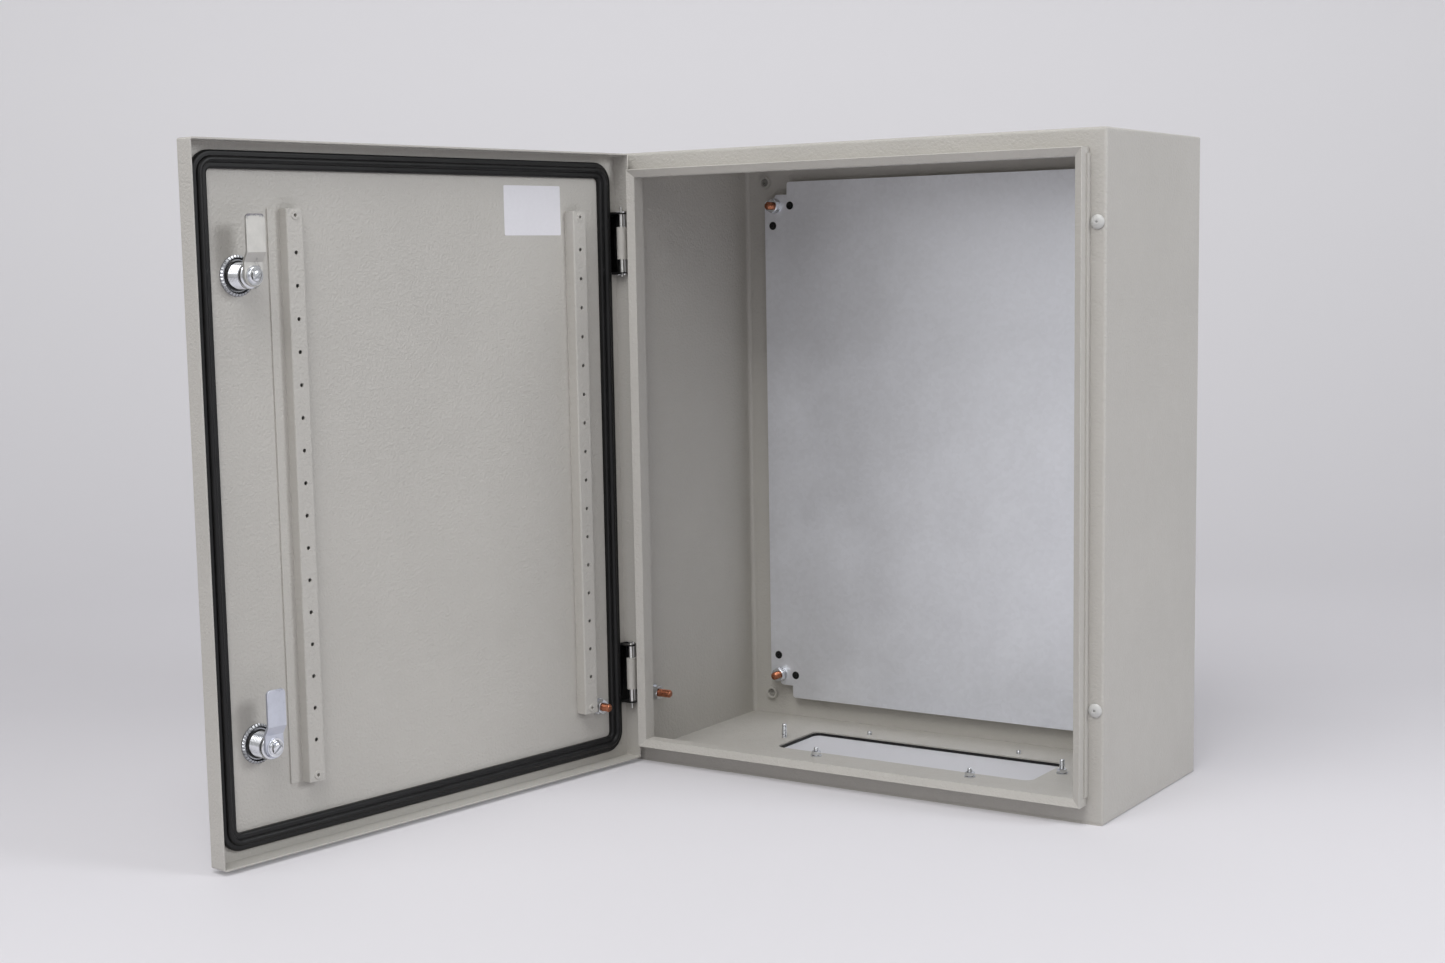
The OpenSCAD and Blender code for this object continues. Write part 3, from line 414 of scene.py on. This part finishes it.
def add_piece(name, bm, material, body, place=CABINET, smooth=40):
    """A new piece from a bmesh in metres, drawn in the frame that place maps to the rest pose.

    Edges that turn by more than smooth degrees stay sharp.
    """
    bmesh.ops.recalc_face_normals(bm, faces=bm.faces)
    mesh = mesh_from(name, bm)
    mesh.transform(place)
    shade_smooth(mesh)
    mesh.set_sharp_from_angle(angle=math.radians(smooth))
    obj = put(name, mesh)
    dress(obj, material)
    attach(obj, body)
    return obj


def solids(node, place=CABINET):
    """The boxes of a node's separate solids, in the frame that place maps to the rest pose."""
    bm = bmesh.new()
    bm.from_mesh(NODES[node].data)
    bmesh.ops.transform(bm, matrix=place.inverted(), verts=bm.verts)
    bmesh.ops.remove_doubles(bm, verts=bm.verts, dist=SAME_POINT)
    boxes, seen = [], set()
    for first in bm.verts:
        if first in seen:
            continue
        seen.add(first)
        group, todo = [], [first]
        while todo:
            v = todo.pop()
            group.append(v.co.copy())
            for e in v.link_edges:
                other = e.other_vert(v)
                if other not in seen:
                    seen.add(other)
                    todo.append(other)
        along = list(zip(*group))
        boxes.append((Vector(map(min, along)), Vector(map(max, along))))
    bm.free()
    return boxes


def axis_at(point, direction):
    """A frame at point whose Z runs along direction."""
    return Matrix.Translation(point) @ Vector(direction).to_track_quat("Z", "Y").to_matrix().to_4x4()


def turned(bm, profile, place, around=AROUND, pitch=1.0, depth=0.0, closed=False, wave=None):
    """Turns a profile of (height, radius) or (height, radius, cut) points about place's Z.

    cut, from 0 to 1, is how much of a screw thread of that pitch and depth the point carries.
    wave(turn, point number) gives a (height, radius) shift for teeth round an edge.
    """
    rings = []
    for number, (height, radius, *cut) in enumerate(profile):
        ring = []
        for k in range(around):
            turn = k / around
            a = math.tau * turn
            groove = sum(cut) * depth / 2 * (1 - math.cos(math.tau * (height / pitch - turn)))
            up, out = wave(turn, number) if wave else (0.0, 0.0)
            r = radius - groove + out
            ring.append(bm.verts.new(place @ Vector((r * math.cos(a), r * math.sin(a), height + up))))
        rings.append(ring)
    pairs = list(zip(rings, rings[1:]))
    if closed:
        pairs.append((rings[-1], rings[0]))
    else:
        bm.faces.new(rings[0][::-1])
        bm.faces.new(rings[-1])
    for low, high in pairs:
        for k in range(around):
            after = (k + 1) % around
            bm.faces.new((low[k], low[after], high[after], high[k]))


# ---------- threaded studs ----------

THREAD_STEPS = 8  # profile points along each turn of a thread
THREAD_START = 0.4 * MM  # above the stud's base
THREAD_DEPTH = 0.61  # of the pitch
TIP_CHAMFER = 0.9  # of the pitch
TIP_CUT = 0.3  # how much of the thread the tip still carries
THREAD_SMOOTH = 50  # degrees, from which an edge shows as sharp
COARSE_8, COARSE_5 = 1.25 * MM, 0.8 * MM  # thread pitches of the 8 mm and 5 mm studs
FORWARDS, BACKWARDS, RIGHT, UPWARDS = (1, -1), (1, 1), (0, 1), (2, 1)  # axis number and sense


def thread_points(start, end, radius, pitch, fade=0.6):
    """Profile points of a threaded stretch, whose groove deepens over its first fade turns."""
    count = max(2, round((end - start) / pitch * THREAD_STEPS))
    points = []
    for i in range(count + 1):
        height = start + (end - start) * i / count
        cut = min(1.0, (height - start) / (fade * pitch))
        points.append((height, radius, cut))
    return points


def threaded_studs(name, node, heading, body, pitch, place=CABINET, around=AROUND):
    """Threaded studs in place of a node's plain ones, each from its own solid's box."""
    axis, sign = heading
    across = (axis + 1) % 3
    direction = Vector((0, 0, 0))
    direction[axis] = sign
    chamfer = TIP_CHAMFER * pitch
    bm = bmesh.new()
    for low, high in solids(node, place):
        base = (low + high) / 2
        base[axis] = low[axis] if sign > 0 else high[axis]
        length = high[axis] - low[axis]
        radius = (high[across] - low[across]) / 2
        profile = [(0.0, radius)]
        profile += thread_points(THREAD_START, length - chamfer, radius, pitch)
        profile.append((length, radius - chamfer, TIP_CUT))
        turned(bm, profile, axis_at(base, direction), around, pitch, THREAD_DEPTH * pitch)
    slot_name = NODE_SLOT[node]
    obj = add_piece(name, bm, SLOTS[slot_name], body, place, THREAD_SMOOTH)
    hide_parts(node)


threaded_studs("plate_stud_threads", "plate_studs", FORWARDS, "cabinet", COARSE_8)
threaded_studs("body_earth_thread", "body_earth_stud", RIGHT, "cabinet", COARSE_8)
threaded_studs("gland_stud_threads", "gland_studs", UPWARDS, "cabinet", COARSE_5,
               around=SMALL_AROUND)
threaded_studs("door_earth_thread", "door_earth_stud", BACKWARDS, "door", COARSE_8, DOOR)

# ---------- locks ----------

HOUSING_R = 11 * MM  # radius of the housing's thread
HOUSING_PITCH = 2.0 * MM
HOUSING_CUT = 1.1 * MM  # depth of that thread
HOUSING_BEVEL = 0.8 * MM
COLLAR = 3.6 * MM  # length of the plain collar at the housing's inner end
GROOVE = 1.1 * MM  # depth and width of the groove beside it
RING_EDGE = 1.5 * MM  # height of the ring's straight edge
RING_CREST = (1.4 * MM, 2.2 * MM)  # how far inside the edge its crest starts and ends
RING_STEP = (1.4 * MM, 2.6 * MM)  # height of its inner step, and how far outside the thread it is
RING_DISH = (1.0 * MM, 2.4 * MM)  # the same for its dished floor
RING_SMOOTH, BOLT_SMOOTH = 30, 35
RING_TEETH = 34
TOOTH_STEPS = 6  # points round each tooth
TOOTH_DEPTHS = {2: 0.55, 3: 0.8, 4: 0.35}  # in millimetres, by point of the ring's profile
TOOTH_LEAN = 0.35  # how far a gap also goes inwards, as a share of its depth
SHANK_R = 4 * MM
BOLT_HEAD = ((0, 1), (0.25, 1), (0.3, 0.97), (0.42, 0.80), (0.5, 0.78), (0.82, 0.74),
             (0.95, 0.62), (1, 0.42))  # height and radius, as shares of the head's
SLOT_LENGTH = 40 * MM  # of the cutter, longer than the head is wide
SLOT_WIDTH, SLOT_DEPTH = 1.7 * MM, 1.3 * MM
SLOT_TURN = math.radians(40)  # how far the slot leans from level
INWARDS = (0, 1, 0)  # with the door shut


def tooth_wave(turn, number):
    """Serrations on the top of the ring's edge and on its crest, points 2 to 4 of its profile."""
    depth = TOOTH_DEPTHS.get(number, 0.0)
    swell = 0.5 - 0.5 * math.cos(math.tau * RING_TEETH * turn)
    return (-depth * MM * swell, -TOOTH_LEAN * depth * MM * swell)


def cut_slot(bolt, top):
    """Cuts a screwdriver slot into the head, whose middle is at top with the door shut."""
    bm = bmesh.new()
    bmesh.ops.create_cube(bm, size=1)
    bmesh.ops.scale(bm, vec=(SLOT_LENGTH, 2 * SLOT_DEPTH, SLOT_WIDTH), verts=bm.verts)
    bmesh.ops.rotate(bm, matrix=Matrix.Rotation(SLOT_TURN, 3, "Y"), verts=bm.verts)
    bmesh.ops.translate(bm, vec=top, verts=bm.verts)
    mesh = mesh_from("slot_cutter", bm)
    mesh.transform(DOOR)
    cutter = put("slot_cutter", mesh)
    cut = bolt.modifiers.new("slot", "BOOLEAN")
    cut.operation = "DIFFERENCE"
    cut.solver = "EXACT"
    cut.object = cutter
    bpy.context.view_layer.update()
    evaluated = bolt.evaluated_get(bpy.context.evaluated_depsgraph_get())
    finished = bpy.data.meshes.new_from_object(evaluated)
    bolt.modifiers.clear()
    bolt.data = finished
    bpy.data.objects.remove(cutter)


def make_lock(level):
    """The turned pieces of one lock, with thread, serrations and slot, drawn on its axis."""
    def box(part):
        (only,) = solids(f"{level}_lock_{part}", DOOR)
        return only

    def piece(name, profile, base, material, body, smooth, around=FINE_AROUND, **turning):
        bm = bmesh.new()
        turned(bm, profile, axis_at((axis.x, base, axis.z), INWARDS), around, **turning)
        full_name = f"{level}_lock_{name}"
        return add_piece(full_name, bm, material, body, DOOR, smooth)

    low, high = box("housing")
    axis = (low + high) / 2
    rotor_low, rotor_high = box("rotor")
    ring_low, ring_high = box("ring")
    length = high.y - low.y
    collar = length - COLLAR
    bore = (rotor_high.x - rotor_low.x) / 2
    flange_r = (high.x - low.x) / 2
    flange_t = box("seal")[0].y - low.y
    profile = [(0.0, bore), (0.0, flange_r - HOUSING_BEVEL), (HOUSING_BEVEL, flange_r),
               (flange_t, flange_r), (flange_t, HOUSING_R)]
    profile += thread_points(ring_low.y - low.y, collar - GROOVE, HOUSING_R, HOUSING_PITCH, fade=1.0)
    profile += [(collar - GROOVE, HOUSING_R - GROOVE), (collar, HOUSING_R - GROOVE),
                (collar, HOUSING_R), (length - HOUSING_BEVEL, HOUSING_R),
                (length, HOUSING_R - HOUSING_BEVEL), (length, bore)]
    housing = piece("thread", profile, low.y, CHROME, "door", THREAD_SMOOTH,
                    pitch=HOUSING_PITCH, depth=HOUSING_CUT, closed=True)
    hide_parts(level + "_lock_housing")

    ring_r = (ring_high.x - ring_low.x) / 2
    ring_h = ring_high.y - ring_low.y
    profile = [(0.0, HOUSING_R), (0.0, ring_r), (RING_EDGE, ring_r),
               (ring_h, ring_r - RING_CREST[0]), (ring_h, ring_r - RING_CREST[1]),
               (RING_STEP[0], HOUSING_R + RING_STEP[1]),
               (RING_DISH[0], HOUSING_R + RING_DISH[1]), (RING_DISH[0], HOUSING_R)]
    ring = piece("serrated_ring", profile, ring_low.y, RING, "door", RING_SMOOTH,
                 RING_TEETH * TOOTH_STEPS, closed=True, wave=tooth_wave)
    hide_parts(level + "_lock_ring")

    bolt_low, bolt_high = box("bolt")
    seat = box("washer")[1].y
    head_r = (bolt_high.z - bolt_low.z) / 2
    head_h = bolt_high.y - seat
    profile = [(bolt_low.y - seat, SHANK_R), (0.0, SHANK_R)]
    profile += [(h * head_h, r * head_r) for h, r in BOLT_HEAD]
    bolt = piece("slotted_bolt", profile, seat, CHROME, level + "_lock", BOLT_SMOOTH)
    cut_slot(bolt, Vector((axis.x, bolt_high.y, axis.z)))
    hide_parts(level + "_lock_bolt")


for lock_level in ("top", "bottom"):
    make_lock(lock_level)

# ---------- label, plugs and caps ----------

SKIN_Y = solids("top_lock_ring", DOOR)[0][0].y  # the inner face of the door's skin, shut
BODY_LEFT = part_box("body_shell")[0].x
LABEL_SIZE = (72 * MM, 46 * MM)
LABEL_THICK = 0.15 * MM
LABEL_CORNER = 1.2 * MM
CORNER_STEPS = 4
LABEL_PLACE = (113 * MM, 244.5 * MM)  # its middle, from the cabinet's left side and above its middle

OUTWARDS = (0, -1, 0)
PLUG_CHAMFER = 0.5 * MM
DIMPLE_DEPTH = 0.8 * MM
DIMPLE_TOP, DIMPLE_FLOOR = 0.45, 0.3  # its radii, as shares of the plug's
WALL_PLUG_R, WALL_PLUG_H, WALL_PLUG_GAP = 4.2 * MM, 2.9 * MM, 0.2 * MM  # gap to the wall
# The mounting plate's black hole caps are painted shade, standing for the dark inside its small open holes.
PLATE_SHADE_CAP_R, PLATE_SHADE_CAP_RISE = 4.15 * MM, 0.6 * MM  # rise above the plate
CAP_SIDE, CAP_SHIFT, CAP_UP = 18 * MM, 3 * MM, 20.5 * MM  # the small holes' places beside each stud

FRONT_STEM = 0.45  # the front caps' stem, as a share of their radius
FRONT_DOME_H = 2.8 * MM
FRONT_DOME = ((0, 1), (0.2, 1), (0.38, 0.93), (0.7, 0.72), (0.94, 0.42), (1, 0.24), (0.9, 0.17),
              (0.3, 0.13))  # height and radius, as shares of the dome's


def make_label():
    """A bare white sticker on the inside of the door, its corners slightly rounded."""
    width, height = LABEL_SIZE
    middle = Vector((BODY_LEFT + LABEL_PLACE[0], SKIN_Y, LABEL_PLACE[1]))
    outline = []
    for number, (sx, sz) in enumerate(((1, 1), (-1, 1), (-1, -1), (1, -1))):
        for step in range(CORNER_STEPS + 1):
            a = math.radians(90 * number + 90 * step / CORNER_STEPS)
            outline.append((sx * (width / 2 - LABEL_CORNER) + LABEL_CORNER * math.cos(a),
                            sz * (height / 2 - LABEL_CORNER) + LABEL_CORNER * math.sin(a)))
    bm = bmesh.new()
    back, front = ([bm.verts.new(middle + Vector((x, y, z))) for x, z in outline]
                   for y in (0, LABEL_THICK))
    bm.faces.new(back)
    bm.faces.new(front[::-1])
    for k in range(len(outline)):
        after = (k + 1) % len(outline)
        bm.faces.new((back[k], back[after], front[after], front[k]))
    add_piece("blank_label", bm, STICKER, "door", DOOR)


def hole_plugs(name, places, radius, material, height):
    """Blind plugs with a dimple, their faces towards the door."""
    profile = [(0.0, radius), (height - PLUG_CHAMFER, radius), (height, radius - PLUG_CHAMFER),
               (height, DIMPLE_TOP * radius), (height - DIMPLE_DEPTH, DIMPLE_FLOOR * radius)]
    bm = bmesh.new()
    for place in places:
        turned(bm, profile, axis_at(place, OUTWARDS))
    add_piece(name, bm, material, "cabinet")


def middles(boxes, depth):
    return [Vector(((low.x + high.x) / 2, depth, (low.z + high.z) / 2)) for low, high in boxes]


def make_plugs():
    """Plugs in the wall fixing holes, and black caps in the small holes of the mounting plate, which are painted
    shade: they stand for the shade inside those open holes.
    """
    wall_holes = middles(solids("wall_bushes"), -WALL_PLUG_GAP)
    hole_plugs("wall_hole_plugs", wall_holes, WALL_PLUG_R, PLUG, WALL_PLUG_H)
    plate_low, plate_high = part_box("mounting_plate")
    caps = []
    for stud in middles(solids("plate_nuts"), plate_high.y):
        side, level = math.copysign(1, stud.x), math.copysign(1, stud.z)
        caps.append(stud + Vector((-side * CAP_SIDE, 0, 0)))
        caps.append(stud + Vector((side * CAP_SHIFT, 0, -level * CAP_UP)))
    # Painted shade: black caps fill the plate's small holes, which look dark only from the shade behind the plate.
    shade_cap_height = plate_high.y - plate_low.y + PLATE_SHADE_CAP_RISE
    hole_plugs("plate_hole_shade_caps", caps, PLATE_SHADE_CAP_R, SEAL, shade_cap_height)


def make_front_caps():
    """Domed caps with an eye, in place of the front band's blanking plugs."""
    bm = bmesh.new()
    for low, high in solids("blanking_plugs"):
        depth, radius = high.y - low.y, (high.x - low.x) / 2
        dome = min(FRONT_DOME_H, depth / 2)
        rim = depth - dome
        profile = [(0.0, FRONT_STEM * radius), (rim, FRONT_STEM * radius)]
        profile += [(rim + h * dome, r * radius) for h, r in FRONT_DOME]
        middle = ((low.x + high.x) / 2, high.y, (low.z + high.z) / 2)
        turned(bm, profile, axis_at(middle, OUTWARDS), FINE_AROUND)
    caps = add_piece("front_caps", bm, CAP, "cabinet")
    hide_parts("blanking_plugs")


make_label()
make_plugs()
make_front_caps()

# ---------- room and light ----------

FLOOR_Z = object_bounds()[0][2]
ROOM_SIDE = 7
FLOOR_NEAR, FLOOR_FAR = -3.5, 3.1  # along the camera's view, from below the camera
BACKDROP_TOP = 5.0
CURVE_RADIUS, CURVE_STEPS = 1.4, 16  # where the floor turns up into the backdrop
FLOOR_COLOUR = linear(214, 212, 217)
GLOW_RANGE = (-0.8, 2.2)  # along the camera's view, from the object's middle
GLOW_STOPS = ((0.0, 0.14), (0.35, 0.07), (1.0, 0.19))  # position in that range, and strength
RISE_GLOW, RISE_HEIGHT = 0.06, 0.9  # what is added up to that height above the floor
WORLD_LIGHT, WORLD_SEEN = 0.12, 0.5  # strength on the object, and as seen in the view or a gloss
WHITE = (1, 1, 1)
COOL = (0.95, 0.97, 1.0)
LAMP_TARGET = Vector((0, -0.3, 0))
LAMPS = (  # name, place, length of each side, power in watts, colour
    ("key_right", (2.6, 0.1, 1.2), 0.9, 30, COOL),
    ("front_right", (1.6, -3.0, 1.8), 1.6, 13, WHITE),
    ("fill_left", (-1.6, -2.6, 1.0), 1.6, 10.5, WHITE),
    ("top", (0.0, -0.5, 2.8), 2.0, 12, WHITE),
    ("top_front", (0.3, -2.2, 2.8), 2.0, 59, WHITE),
)


def seen_rays(tree):
    """1 for what the camera sees straight or in a gloss, 0 for the light that falls on the object."""
    path = add(tree, "ShaderNodeLightPath", {}).outputs
    return maths(tree, "MAXIMUM", path["Is Camera Ray"], path["Is Glossy Ray"])


def make_backdrop_material():
    m, t, s = new_material("floor")
    turn = add(t, "ShaderNodeMapping", {"Vector": object_space(t), "Rotation": (0, 0, -YAW)})
    where = split(t, turn.outputs["Vector"])
    glow = ramp(t, span(t, where["Y"], 0.0, 1.0, *GLOW_RANGE),
                [(position, plain(level)) for position, level in GLOW_STOPS])
    rise = span(t, where["Z"], 0.0, RISE_GLOW, FLOOR_Z, FLOOR_Z + RISE_HEIGHT)
    feed(t, s, {
        "Base Color": FLOOR_COLOUR,
        "Roughness": 0.6,
        "Specular IOR Level": 0.25,
        "Emission Color": plain(1),
        "Emission Strength": maths(t, "MULTIPLY", maths(t, "ADD", glow, rise), seen_rays(t)),
    })
    return m


def make_room():
    """A floor that curves up into a backdrop, square to the camera's view."""
    profile = [(FLOOR_NEAR, 0.0), (FLOOR_FAR, 0.0)]
    for i in range(1, CURVE_STEPS + 1):
        a = math.radians(90 * i / CURVE_STEPS)
        profile.append((FLOOR_FAR + CURVE_RADIUS * math.sin(a), CURVE_RADIUS * (1 - math.cos(a))))
    profile.append((FLOOR_FAR + CURVE_RADIUS, BACKDROP_TOP))
    centre = Vector((CAMERA_PLACE[0], CAMERA_PLACE[1], 0))
    bm = bmesh.new()
    rows = []
    for forward, height in profile:
        middle = centre + AHEAD * forward + Vector((0, 0, FLOOR_Z + height))
        rows.append([bm.verts.new(middle + ACROSS * side) for side in (-ROOM_SIDE, ROOM_SIDE)])
    for low, high in zip(rows, rows[1:]):
        bm.faces.new((low[0], low[1], high[1], high[0]))
    mesh = mesh_from("floor", bm)
    shade_smooth(mesh)
    floor = put("floor", mesh)
    dress(floor, make_backdrop_material())


def make_world():
    world = bpy.data.worlds.new("studio")
    bpy.context.scene.world = world
    world.use_nodes = True
    t = world.node_tree
    strength = span(t, seen_rays(t), WORLD_LIGHT, WORLD_SEEN, 0.0, 1.0)
    feed(t, t.nodes["Background"], {"Color": plain(1), "Strength": strength})


def make_lamp(name, place, side, power, colour):
    data = bpy.data.lights.new(name, "AREA")
    data.shape = "RECTANGLE"
    data.size = data.size_y = side
    data.energy = power
    data.color = colour
    light = put(name, data)
    light.location = place
    light.rotation_euler = (LAMP_TARGET - Vector(place)).to_track_quat("-Z", "Y").to_euler()


make_room()
make_world()
for lamp in LAMPS:
    make_lamp(*lamp)

bpy.context.scene.view_settings.view_transform = "Standard"
